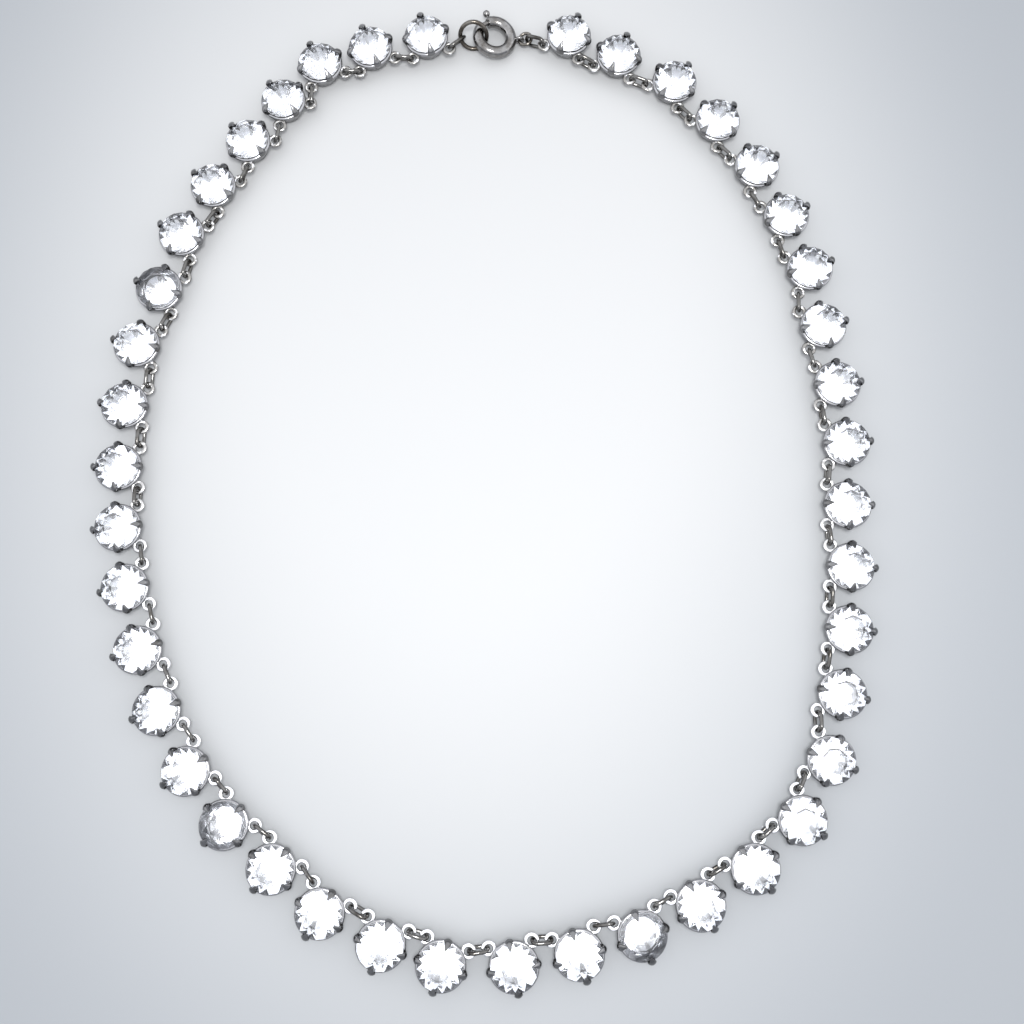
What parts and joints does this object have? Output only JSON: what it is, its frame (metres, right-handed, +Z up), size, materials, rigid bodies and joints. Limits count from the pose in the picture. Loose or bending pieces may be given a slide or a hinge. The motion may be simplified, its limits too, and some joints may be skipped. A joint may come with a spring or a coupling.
{
  "type": "riviere necklace",
  "caption": "Riviere necklace of alike round clear stones in open-backed claw settings, joined by oval wire links and closed by a spring ring, lying flat in an egg-shaped loop.",
  "frame": {"origin": "middle of the loop's bounding box, on the surface that the necklace lies on", "axes": "+Z up out of the stones' tables, +Y towards the clasp, +X to the right seen from above with the clasp at the top"},
  "size_m": [0.114, 0.1466, 0.0043],
  "materials": {
    "clear_stone": "polished, with a silvery back",
    "setting_metal": "polished",
    "link_metal": "polished, tarnished",
    "clasp_metal": "polished, slightly tarnished"
  },
  "bodies": {
    "necklace": {"settings_left": "setting_metal", "settings_right": "setting_metal", "links_left": "link_metal", "links_right": "link_metal", "end_link": "link_metal", "end_ring": "link_metal", "spring_ring": "clasp_metal", "tail_ring": "link_metal", "tail_link": "link_metal", "stone_01": "clear_stone", "stone_02": "clear_stone", "stone_03": "clear_stone", "stone_04": "clear_stone", "stone_05": "clear_stone", "stone_06": "clear_stone", "stone_07": "clear_stone", "stone_08": "clear_stone", "stone_09": "clear_stone", "stone_10": "clear_stone", "stone_11": "clear_stone", "stone_12": "clear_stone", "stone_13": "clear_stone", "stone_14": "clear_stone", "stone_15": "clear_stone", "stone_16": "clear_stone", "stone_17": "clear_stone", "stone_18": "clear_stone", "stone_19": "clear_stone", "stone_20": "clear_stone", "stone_21": "clear_stone", "stone_22": "clear_stone", "stone_23": "clear_stone", "stone_24": "clear_stone", "stone_25": "clear_stone", "stone_26": "clear_stone", "stone_27": "clear_stone", "stone_28": "clear_stone", "stone_29": "clear_stone", "stone_30": "clear_stone", "stone_31": "clear_stone", "stone_32": "clear_stone", "stone_33": "clear_stone", "stone_34": "clear_stone", "stone_35": "clear_stone", "stone_36": "clear_stone", "stone_37": "clear_stone", "stone_38": "clear_stone", "stone_39": "clear_stone", "stone_40": "clear_stone", "stone_41": "clear_stone", "stone_42": "clear_stone"},
    "trigger": {"trigger": "clasp_metal"}
  },
  "joints": [
    {"name": "trigger_slide_round", "type": "hinge", "parent": "necklace", "child": "trigger", "pos_m": [0.00145, 0.06913, 0.00165], "axis": [0.1822, 0, 0.9833], "range_deg": [-38, 0], "stiffness_Nm_per_rad": 0.0005, "springref_deg": 28.65}
  ]
}
